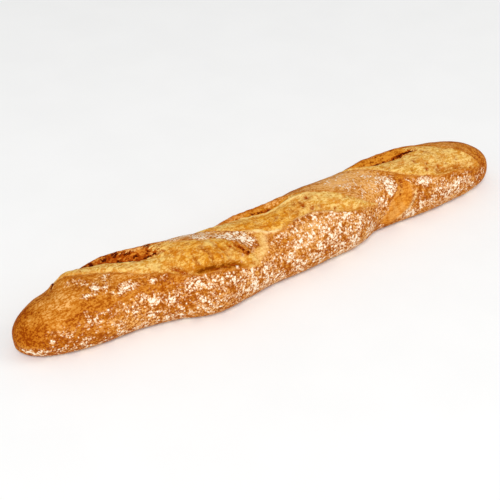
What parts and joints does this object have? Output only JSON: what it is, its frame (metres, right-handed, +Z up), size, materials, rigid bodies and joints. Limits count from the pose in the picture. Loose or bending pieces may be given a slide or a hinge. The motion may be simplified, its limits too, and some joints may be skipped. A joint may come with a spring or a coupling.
{
  "type": "baguette",
  "caption": "Rustic crusty baguette: a long hand-shaped bread loaf with rounded ends, overlapping diagonal scores torn open across the top and a flat underside, dusted with flour.",
  "frame": {"origin": "middle of the loaf's outline, on the surface that its flat underside rests on", "axes": "+X along the loaf, +Z up, -Y towards the flank on which the scores run out"},
  "size_m": [0.44, 0.078, 0.0515],
  "materials": {
    "crust": "matte"
  },
  "bodies": {
    "root": {"loaf": "crust"}
  },
  "joints": []
}
